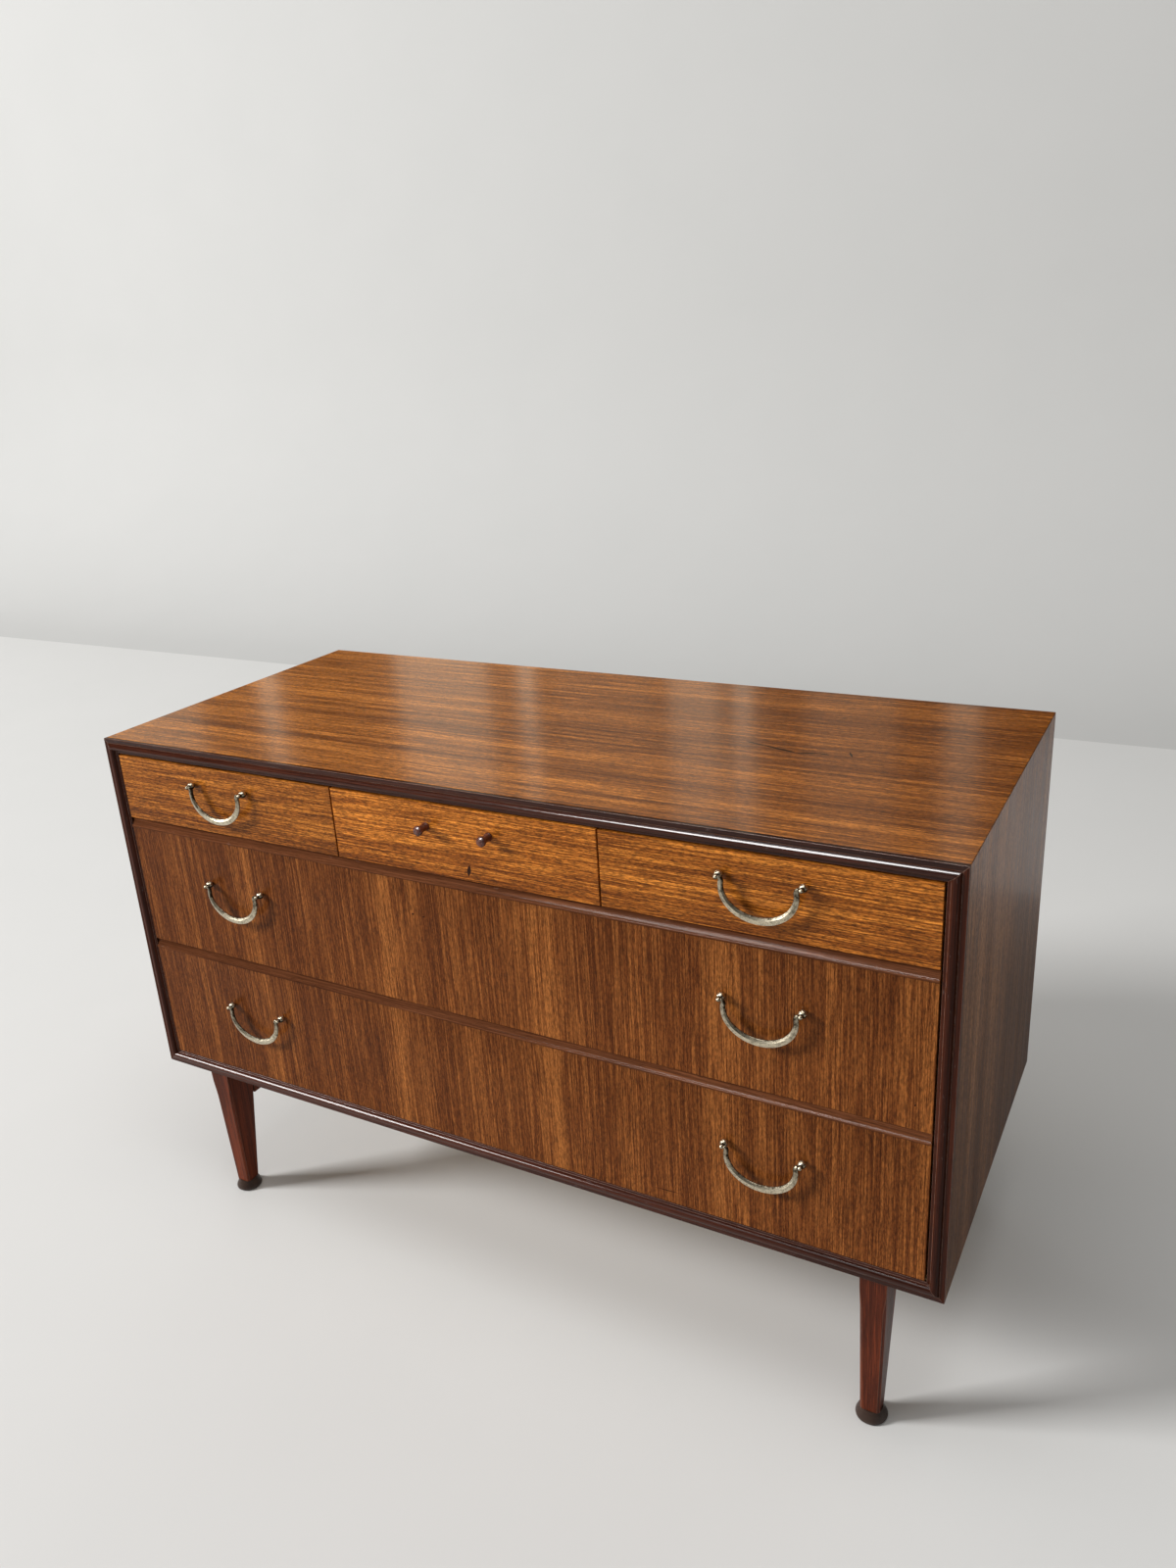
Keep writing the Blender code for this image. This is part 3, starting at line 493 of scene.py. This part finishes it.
def make_materials():
    wide_marks = marks_on_front(WIDE_MARKS)
    top_marks = [((*start, TOP_Z), (*end, TOP_Z), width) for start, end, width in TOP_MARKS]
    looks = {
        # painted shade: the top is painted darker towards its right end
        "top_veneer": wood("top_veneer", "x", **AMBER, seed=3.0, leaf=TOP_LEAF, figure=TOP_FIGURE,
                           figure_share=0.60, line_share=0.9, streak_share=0.6, band_share=0.25,
                           contrast=(0.35, 0.65), fleck=0.42, gradient=("x", -0.5, 0.5, -0.14),
                           gloss=0.6, coat_roughness=0.15, specular=0.3, scratches=top_marks),
        # painted reflection: the side panels are painted lighter towards the top, standing in for the
        # sheen they catch there
        "side_veneer": wood("side_veneer", "z", **WALNUT, seed=7.0, line_share=0.8, contrast=(0.36, 0.64),
                            fleck=0.45, gradient=("z", CASE_Z, TOP_Z, 0.22), gloss=0.05,
                            coat_roughness=0.22, specular=0.02),
        # painted shade: the wide fronts are painted darker towards the left, where the light falls
        # stronger
        "wide_front_veneer": wood("wide_front_veneer", "z", **BROWN, seed=13.0, leaf=FRONT_LEAF,
                                  figure=FRONT_FIGURE, figure_share=0.70, line_share=0.9,
                                  streak_share=0.45, band_share=0.1, contrast=(0.28, 0.72), fleck=0.38,
                                  gradient=("x", -0.50, 0.10, 0.07), gloss=0.11, specular=0.03,
                                  scratches=wide_marks),
        "lipping": wood("lipping", "x", **ROSY, seed=15.0, wear=0.05, gloss=0.07, specular=0.0),
        "moulding_x": wood("moulding_x", "x", **RED, seed=17.0, wear=0.10, gloss=0.45,
                           coat_roughness=0.12, specular=0.03),
        "moulding_z": wood("moulding_z", "z", **RED, seed=19.0, wear=0.10, gloss=0.15, specular=0.03),
        "moulding_edge": wood("moulding_edge", "x", **CHERRY, seed=21.0, wear=0.7, gloss=0.1),
        "leg_wood": wood("leg_wood", "z", **MAHOGANY, seed=23.0, wear=0.04, gloss=0.14, specular=0.06),
        "leg_edge": wood("leg_edge", "z", **CHERRY, seed=25.0, wear=0.5, gloss=0.1),
        "carcass_wood": wood("carcass_wood", "x", **PLAIN, seed=29.0, gloss=0.0, roughness=(0.6, 0.75)),
        "drawer_wood": wood("drawer_wood", "y", **PLAIN, seed=31.0, gloss=0.0, roughness=(0.55, 0.7)),
        "end_grain": wood("end_grain", "z", **END_GRAIN, seed=33.0, gloss=0.0, roughness=(0.65, 0.8)),
        "back_board": wood("back_board", "x", **PLAIN, seed=37.0, gloss=0.0, roughness=(0.6, 0.75)),
        "knob_wood": wood("knob_wood", "y", **MAHOGANY, seed=41.0, wear=0.30, gloss=0.5,
                          coat_roughness=0.2),
        "aged_brass": brass("aged_brass"),
        "glide_brown": plastic("glide_brown"),
        "steel": steel("steel"),
    }
    fade = [TOP_Z - depth for depth in SMALL_FRONT_FADE]
    for side, seed, tint in SMALL_FRONTS:
        name = "small_front_" + side
        tinted = {end: tuple(channel * (1 + tint) for channel in colour) for end, colour in GOLDEN.items()}
        looks[name] = wood(name, "x", **tinted, seed=seed, band_share=0.18, streak_share=0.40,
                           line_share=0.70, contrast=(0.36, 0.64), fleck=0.5,
                           gradient=("z", *fade, 0.10), gloss=0.2, specular=0.05,
                           scratches=marks_on_front(CENTRE_MARKS) if side == "centre" else ())
    return looks


# ---------------------------------------------------------------- pieces
def put(name, mesh, material, body, nodes=(), crease=35):
    """Places a mesh made in the frame's own coordinates as a piece that rides on a body."""
    mesh.materials.append(material)
    mesh.shade_smooth()
    mesh.set_sharp_from_angle(angle=math.radians(crease))
    piece = bpy.data.objects.new(name, mesh)
    bpy.context.scene.collection.objects.link(piece)
    if nodes:
        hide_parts(*nodes)
    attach(piece, body)
    return piece


def soften(piece, width, segments=3, angle=30, edge_material=None):
    """Rounds the piece's arrises, if asked with a material of their own."""
    bevel = piece.modifiers.new("arris", "BEVEL")
    bevel.width = width
    bevel.segments = segments
    bevel.limit_method = "ANGLE"
    bevel.angle_limit = math.radians(angle)
    bevel.harden_normals = True
    if edge_material:
        piece.data.materials.append(edge_material)
        bevel.material = len(piece.data.materials) - 1


def rounded(node, material, width=ARRIS, edge_material=None):
    """A copy of a CAD piece with its arrises rounded; it stands in the piece's place."""
    model = bmesh.new()
    model.from_mesh(frame["nodes"][node].data)
    bmesh.ops.remove_doubles(model, verts=model.verts, dist=WELD)
    bmesh.ops.dissolve_limit(model, angle_limit=math.radians(FLAT_ANGLE), verts=model.verts,
                             edges=model.edges)
    mesh = bpy.data.meshes.new(node + "_finished")
    model.to_mesh(mesh)
    model.free()
    mesh.materials.clear()
    piece = put(node + "_finished", mesh, material, BODY_OF[node], [node], crease=40)
    soften(piece, width, edge_material=edge_material)
    return piece


def add_lipping(piece, material):
    """The sloped and beaded strip along the top of a wide front is solid wood of another colour."""
    piece.data.materials.append(material)
    foot = max(corner[2] for corner in piece.bound_box) - LIPPING_HEIGHT
    for face in piece.data.polygons:
        if face.center.z > foot and abs(face.normal.x) < 0.5:
            face.material_index = len(piece.data.materials) - 1


def skin(name, groups):
    """One mesh of closed skins; each group is a list of equal rings of points, capped at both ends."""
    mesh = bpy.data.meshes.new(name)
    model = bmesh.new()
    for rings in groups:
        loops = [[model.verts.new(point) for point in ring] for ring in rings]
        count = len(loops[0])
        for lower, upper in zip(loops, loops[1:]):
            for index in range(count):
                after = (index + 1) % count
                model.faces.new((lower[index], lower[after], upper[after], upper[index]))
        model.faces.new(list(reversed(loops[0])))
        model.faces.new(loops[-1])
    bmesh.ops.recalc_face_normals(model, faces=model.faces)
    model.to_mesh(mesh)
    model.free()
    return mesh


def write_grime_and_shade(mesh, amount):
    """Writes how dark a spot is, from grime and from painted shade, as amount(vertex position), for the
    brass to read.
    """
    layer = mesh.attributes.new("grime", "FLOAT", "POINT")
    for vertex in mesh.vertices:
        layer.data[vertex.index].value = max(0.0, min(1.0, amount(vertex.co)))


def circle(radius, sides):
    corners = []
    for index in range(sides):
        angle = 2 * math.pi * index / sides
        corners.append((radius * math.cos(angle), radius * math.sin(angle)))
    return corners


def turned(profile, middle, axis, sides=36):
    """Rings of (distance, radius) points about an axis: "y" runs towards the viewer, "z" runs up."""
    rings = []
    for distance, radius in profile:
        if axis == "y":
            ring = [(middle[0] + u, middle[1] - distance, middle[2] + v) for u, v in circle(radius, sides)]
        else:
            ring = [(middle[0] + u, middle[1] + v, middle[2] + distance) for u, v in circle(radius, sides)]
        rings.append(ring)
    return rings


def eased(profile):
    """A smooth curve through the points of a profile."""
    points = [profile[0], *profile, profile[-1]]
    curve = [profile[0]]
    for before, start, end, after in zip(points, points[1:], points[2:], points[3:]):
        for index in range(1, CURVE_STEPS + 1):
            t = index / CURVE_STEPS
            spot = []
            for a, b, c, d in zip(before, start, end, after):
                bend = 2 * a - 5 * b + 4 * c - d + t * (3 * (b - c) + d - a)
                spot.append(b + 0.5 * t * (c - a + t * bend))
            curve.append(tuple(spot))
    return curve


# ---------------------------------------------------------------- handles and knobs
def bail_ring(pivot, centre_x, centre_z, heading, half_width, half_depth, flatness):
    """Section across the bail; flatness 0 is a round rod and 1 the ridged outline."""
    across = (-math.sin(heading), math.cos(heading))
    ring = []
    for (side, depth), (round_side, round_depth) in zip(BAIL_OUTLINE, circle(1.0, len(BAIL_OUTLINE))):
        side = round_side + (side - round_side) * flatness
        depth = round_depth + (depth - round_depth) * flatness
        ring.append((pivot[0] + centre_x + across[0] * side * half_width,
                     pivot[1] + depth * half_depth,
                     pivot[2] + centre_z + across[1] * side * half_width))
    return ring


def bail_rings(pivot):
    """Sections along the bail from pin to pin: x, z, heading, half width, half depth and flatness."""
    left = []
    for x in (POST_SPACING / 2 + PIN_END, KNUCKLE_X + KNUCKLE_START):
        left.append((-x, 0.0, 0.0, PIN_RADIUS, PIN_RADIUS, 0.0))
    left.append((-KNUCKLE_X, 0.0, 0.0, KNUCKLE_HALF * KNUCKLE_BLUNT, BAIL_HALF_DEPTH * KNUCKLE_BLUNT, 0.0))
    for turn in KNUCKLE_TURNS:
        angle = math.radians(turn)
        x = -KNUCKLE_X + ELBOW * math.sin(angle)
        z = -ELBOW + ELBOW * math.cos(angle)
        left.append((x, z, -angle, KNUCKLE_HALF, BAIL_HALF_DEPTH, turn / 90))
    spread = math.radians(BAIL_SPREAD)
    radius_x = (KNUCKLE_X - ELBOW) / math.cos(spread)
    radius_z = (BAIL_DROP - BAIL_MIDDLE - ELBOW) / (1 + math.sin(spread))
    centre_z = -ELBOW - radius_z * math.sin(spread)
    path = list(left)
    for index in range(BAIL_STEPS + 1):
        angle = -spread + (math.pi + 2 * spread) * index / BAIL_STEPS
        x = -radius_x * math.cos(angle)
        z = centre_z - radius_z * math.sin(angle)
        heading = math.atan2(-radius_z * math.cos(angle), radius_x * math.sin(angle))
        half_width = BAIL_END + (BAIL_MIDDLE - BAIL_END) * max(0.0, math.sin(angle))
        path.append((x, z, heading, half_width, BAIL_HALF_DEPTH, 1.0))
    for x, z, heading, half_width, half_depth, flatness in reversed(left):
        path.append((-x, z, -heading, half_width, half_depth, flatness))
    return [bail_ring(pivot, *station) for station in path]


def post_profile():
    """(distance from the drawer face, radius) of a post: foot, ball, neck, head and rounded tip."""
    points = [(FACE_GAP, POST_FOOT)]
    for degrees in POST_BALL_TURNS:
        angle = math.radians(degrees)
        points.append((POST_BALL_OUT + POST_BALL * math.cos(angle), POST_BALL * math.sin(angle)))
    head_start = PIVOT_OUT - POST_HEAD_HALF
    head_end = PIVOT_OUT + POST_HEAD_HALF
    points += [(head_start - POST_STEP, POST_NECK), (head_start, POST_HEAD_EDGE)]
    points += [(head_start + POST_STEP, POST_HEAD), (head_end - POST_STEP, POST_HEAD)]
    points += [(head_end, POST_HEAD_EDGE), (POST_LENGTH - 2 * POST_STEP, POST_TIP_ROUND)]
    points += [(POST_LENGTH - POST_STEP / 2, POST_TIP_EDGE), (POST_LENGTH, POST_TIP)]
    return points


def bored(mesh, spot):
    """Takes a round hole along X out of the mesh."""
    body = bpy.data.objects.new("blank", mesh)
    rings = []
    for x in (spot[0] - DRILL_REACH, spot[0] + DRILL_REACH):
        rings.append([(x, spot[1] + u, spot[2] + v) for u, v in circle(PIN_BORE, 24)])
    drill = bpy.data.objects.new("drill", skin("drill", [rings]))
    for item in (body, drill):
        bpy.context.scene.collection.objects.link(item)
    boolean = body.modifiers.new("bore", "BOOLEAN")
    boolean.operation = "DIFFERENCE"
    boolean.solver = "EXACT"
    boolean.object = drill
    bpy.context.view_layer.update()
    result = bpy.data.meshes.new_from_object(body.evaluated_get(bpy.context.evaluated_depsgraph_get()))
    for item in (body, drill):
        bpy.data.objects.remove(item, do_unlink=True)
    return result


def bail_darkening(pivot):
    """The arms, the inner edge and the back of the crescent are darker than its front."""
    def amount(spot):
        fall = (pivot[2] - spot.z) / BAIL_DROP
        forward = (pivot[1] - spot.y) / BAIL_HALF_DEPTH
        radius = math.hypot(spot.x - pivot[0], spot.z - pivot[2]) / (KNUCKLE_X - ELBOW)
        arm = 0.55 * max(0.0, 1.0 - fall / 0.75)
        inner = 0.5 if radius < 0.99 and forward < 0.7 else 0.0
        back = 0.5 if forward < -0.3 else 0.0
        return arm + inner + back
    return amount


def post_grime_and_shade(middle_z):
    """Grime sits in the waist behind the head and behind the ball as patina in those hollows, and these
    are also darkened as painted shade where the parts crowd together; the underside of the post is painted
    shade.
    """
    def amount(spot):
        out = FACE_Y - spot.y
        # patina and painted shade in the waist and behind the ball
        if POST_BALL_OUT + 0.8 * POST_BALL < out < PIVOT_OUT - 0.5 * POST_HEAD_HALF:
            return 1.0
        behind = 0.9 if out < POST_BALL_OUT - 0.6 * POST_BALL else 0.0
        # painted shade: the lower half of the post is darkened
        under = 1.0 if spot.z < middle_z - POST_SHADE else 0.0
        return behind + under
    return amount


def make_handles(looks):
    finish = looks["aged_brass"]
    for name in HANDLES:
        low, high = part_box("bail_" + name)
        pivot = ((low.x + high.x) / 2, (low.y + high.y) / 2, low.z + BAIL_DROP)
        mesh = skin("bail_" + name + "_fine", [bail_rings(pivot)])
        write_grime_and_shade(mesh, bail_darkening(pivot))
        bail = put(mesh.name, mesh, finish, "handle_" + name, ["bail_" + name], crease=25)
        soften(bail, BAIL_ARRIS, segments=2, angle=22)
        for end in ("inner", "outer"):
            node = "post_" + name + "_" + end
            low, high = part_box(node)
            spot = ((low.x + high.x) / 2, FACE_Y - PIVOT_OUT, (low.z + high.z) / 2)
            blank = skin(node + "_blank", [turned(post_profile(), (spot[0], FACE_Y, spot[2]), "y")])
            mesh = bored(blank, spot)
            write_grime_and_shade(mesh, post_grime_and_shade(spot[2]))
            put(node + "_fine", mesh, finish, BODY_OF[node], [node])


def make_knobs_and_glides(looks):
    for side in ("left", "right"):
        node = "knob_" + side
        low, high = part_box(node)
        middle = ((low.x + high.x) / 2, FACE_Y, (low.z + high.z) / 2)
        mesh = skin(node + "_fine", [turned(eased(KNOB_PROFILE), middle, "y", sides=48)])
        put(mesh.name, mesh, looks["knob_wood"], BODY_OF[node], [node])
        for depth in ("front", "back"):
            node = "glide_" + depth + "_" + side
            low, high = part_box(node)
            middle = ((low.x + high.x) / 2, (low.y + high.y) / 2, 0.0)
            mesh = skin(node + "_fine", [turned(eased(GLIDE_PROFILE), middle, "z", sides=48)])
            put(mesh.name, mesh, looks["glide_brown"], BODY_OF[node], [node])


# ---------------------------------------------------------------- small parts inside and behind
def add_fixings(looks):
    """Washer, nut and stud end behind each post and knob."""
    washer = [(0.0, WASHER_RADIUS), (-WASHER_HEIGHT, WASHER_RADIUS)]
    nut = [(-WASHER_HEIGHT, NUT_RADIUS), (-WASHER_HEIGHT - NUT_HEIGHT, NUT_RADIUS)]
    stud = [(-WASHER_HEIGHT - NUT_HEIGHT, STUD_RADIUS), (-STUD_END, STUD_RADIUS),
            (-STUD_END - STUD_CHAMFER, STUD_RADIUS * 0.6)]
    for drawer in DRAWERS:
        groups = []
        for node in frame["nodes"]:
            if BODY_OF[node] != "drawer_" + drawer or not node.startswith(("post_", "knob_")):
                continue
            low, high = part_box(node)
            middle = ((low.x + high.x) / 2, FRONT_BACK_Y, (low.z + high.z) / 2)
            for profile, sides in ((washer, 24), (nut, 6), (stud, 16)):
                groups.append(turned(profile, middle, "y", sides))
        mesh = skin("fixings_" + drawer, groups)
        put(mesh.name, mesh, looks["steel"], "drawer_" + drawer)


def add_dovetails(looks):
    """End grain of the joints at the back corners of the drawer boxes."""
    for drawer in DRAWERS:
        low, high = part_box("box_" + drawer)
        count = int((high.z - low.z) / TAIL_PITCH)
        pitch = (high.z - low.z) / count
        wide = pitch * TAIL_WIDE
        narrow = pitch * TAIL_NARROW
        back = high.y - TAIL_SET_BACK
        root = high.y - TAIL_LENGTH
        groups = []
        for side in (-1, 1):
            face = low.x if side < 0 else high.x
            for index in range(count):
                middle = low.z + pitch * (index + 0.5)
                outline = [(back, middle - wide), (back, middle + wide),
                           (root, middle + narrow), (root, middle - narrow)]
                rings = []
                for out in (-TAIL_SUNK, TAIL_PROUD):
                    rings.append([(face + side * out, y, z) for y, z in outline])
                groups.append(rings)
        mesh = skin("dovetails_" + drawer, groups)
        put(mesh.name, mesh, looks["end_grain"], "drawer_" + drawer)


def add_nails(looks):
    """Low round heads of the nails that hold the back panel."""
    low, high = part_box("back_panel")
    profile = [(NAIL_PROUD, NAIL_RADIUS), (0.0, NAIL_RADIUS), (-0.75 * NAIL_PROUD, NAIL_RADIUS * 0.8),
               (-NAIL_PROUD, NAIL_RADIUS * 0.3)]
    left = low.x + NAIL_MARGIN
    right = high.x - NAIL_MARGIN
    spots = []
    columns = round((high.x - low.x) / NAIL_SPACING)
    for index in range(columns + 1):
        x = left + (right - left) * index / columns
        spots += [(x, low.z + NAIL_MARGIN), (x, high.z - NAIL_MARGIN)]
    for height in NAIL_HEIGHTS:
        z = low.z + (high.z - low.z) * height
        spots += [(left, z), (right, z)]
    groups = [turned(profile, (x, high.y, z), "y", sides=16) for x, z in spots]
    mesh = skin("back_nails", groups)
    put(mesh.name, mesh, looks["steel"], BODY_OF["back_panel"])


def make_pieces(looks):
    for node in frame["nodes"]:
        slot = SLOT_OF[node]
        if slot in ("aged_brass", "glide_brown", "knob_wood"):
            continue
        if slot == "moulding_wood":
            look = "moulding_x" if node in ("moulding_top", "moulding_bottom") else "moulding_z"
            rounded(node, looks[look], MOULDING_ARRIS, looks["moulding_edge"])
        elif slot == "leg_wood":
            rounded(node, looks[slot], ARRIS, looks["leg_edge"])
        elif slot == "small_front_veneer":
            rounded(node, looks[node.replace("front_top_", "small_front_")])
        elif slot == "wide_front_veneer":
            add_lipping(rounded(node, looks[slot], MOULDING_ARRIS), looks["lipping"])
        else:
            rounded(node, looks[slot])
    make_handles(looks)
    make_knobs_and_glides(looks)
    add_fixings(looks)
    add_dovetails(looks)
    add_nails(looks)


# ---------------------------------------------------------------- stage
def cloudy(name, low, high, roughness, specular):
    """A matt pale surface whose tone drifts between two colours."""
    shade = Shade(name)
    cloud = shade.noise(shade.scaled(3.0, 3.0, 3.0), detail=3.0)
    colour = shade.ramp(cloud, [(0.3, low), (0.7, high)])
    return shade.finish(colour, roughness, Specular_IOR_Level=specular)


def add_sheet(name, line, look):
    """A sheet as wide as the floor that follows a line of (y, z) points."""
    mesh = bpy.data.meshes.new(name)
    model = bmesh.new()
    rows = []
    for y, z in line:
        rows.append((model.verts.new((-FLOOR_REACH, y, z)), model.verts.new((FLOOR_REACH, y, z))))
    for near, far in zip(rows, rows[1:]):
        model.faces.new((near[0], near[1], far[1], far[0]))
    model.to_mesh(mesh)
    model.free()
    mesh.shade_smooth()
    mesh.materials.append(look)
    sheet = bpy.data.objects.new(name, mesh)
    bpy.context.scene.collection.objects.link(sheet)
    return sheet


def make_stage():
    floor_look = cloudy("pale_floor", *FLOOR_TONES, roughness=0.85, specular=0.2)
    wall_look = cloudy("pale_backdrop", *BACKDROP_TONES, roughness=0.9, specular=0.1)
    wall_line = [(BACKDROP_Y, 0.0)]
    for index in range(1, 13):
        angle = math.pi / 2 * index / 12
        wall_line.append((BACKDROP_Y + BACKDROP_ROUNDING * math.sin(angle),
                          BACKDROP_ROUNDING * (1 - math.cos(angle))))
    wall_line.append((BACKDROP_Y + BACKDROP_ROUNDING, BACKDROP_HEIGHT))
    add_sheet("floor", [(-FLOOR_REACH, 0.0), (BACKDROP_Y, 0.0)], floor_look)
    backdrop = add_sheet("backdrop", wall_line, wall_look)
    backdrop.visible_glossy = False


# ---------------------------------------------------------------- lights and camera
def area_light(name, place, target, width, height, power):
    data = bpy.data.lights.new(name, "AREA")
    data.shape = "RECTANGLE"
    data.size = width
    data.size_y = height
    data.energy = power
    light = bpy.data.objects.new(name, data)
    bpy.context.scene.collection.objects.link(light)
    light.location = place
    light.rotation_euler = (Vector(target) - Vector(place)).to_track_quat("-Z", "Y").to_euler()
    return light


def glossy_light(name, place, target, width, height, power):
    """A light that shows only in the polish of the wood and the brass."""
    light = area_light(name, place, target, width, height, power)
    light.visible_camera = False
    light.visible_diffuse = False
    return light


def accent(name, setting, starts):
    """A glossy light that shows only on the pieces whose names begin with `starts`."""
    group = bpy.data.collections.new(name + "_receivers")
    for item in bpy.data.objects:
        if item.name.startswith(starts) and item.name.endswith(("_finished", "_fine")):
            group.objects.link(item)
    glossy_light(name, *setting).light_linking.receiver_collection = group


def make_lights():
    world = bpy.data.worlds.new("studio")
    bpy.context.scene.world = world
    world.use_nodes = True
    world.node_tree.nodes["Background"].inputs["Color"].default_value = WORLD_COLOUR
    world.node_tree.nodes["Background"].inputs["Strength"].default_value = WORLD_STRENGTH
    world.cycles_visibility.glossy = False
    key = area_light("key", *KEY)
    key.visible_glossy = False
    accent("glint", KEY, ("bail_", "post_"))
    accent("post_light", POST_LIGHT, ("post_",))
    area_light("overhead", *OVERHEAD)
    accent("bead_light", BEAD_LIGHT, BEADED)
    accent("low_light", LOW_LIGHT, ("moulding_bottom",))
    accent("side_light", SIDE_LIGHT, ("side_panel_right",))
    for middle, width, radiance in WINDOW_STRIPS:
        place = (middle, WINDOW_Y, WINDOW_Z)
        target = (middle, 0, WINDOW_Z)
        power = math.pi * width * WINDOW_HEIGHT * radiance
        window = glossy_light("window", place, target, width, WINDOW_HEIGHT, power)
        window.data.color = WINDOW_COLOUR


def make_camera():
    data = bpy.data.cameras.new("camera")
    data.sensor_fit = "VERTICAL"
    data.sensor_height = 36.0
    data.lens = CAMERA_LENS
    camera = bpy.data.objects.new("camera", data)
    bpy.context.scene.collection.objects.link(camera)
    turn = Matrix((CAMERA_RIGHT, -Vector(CAMERA_DOWN), -Vector(CAMERA_AHEAD))).transposed().to_4x4()
    camera.matrix_world = Matrix.Translation(CAMERA_PLACE) @ turn
    bpy.context.scene.camera = camera


make_camera()
make_pieces(make_materials())
make_stage()
make_lights()
bpy.context.scene.view_settings.view_transform = "Standard"
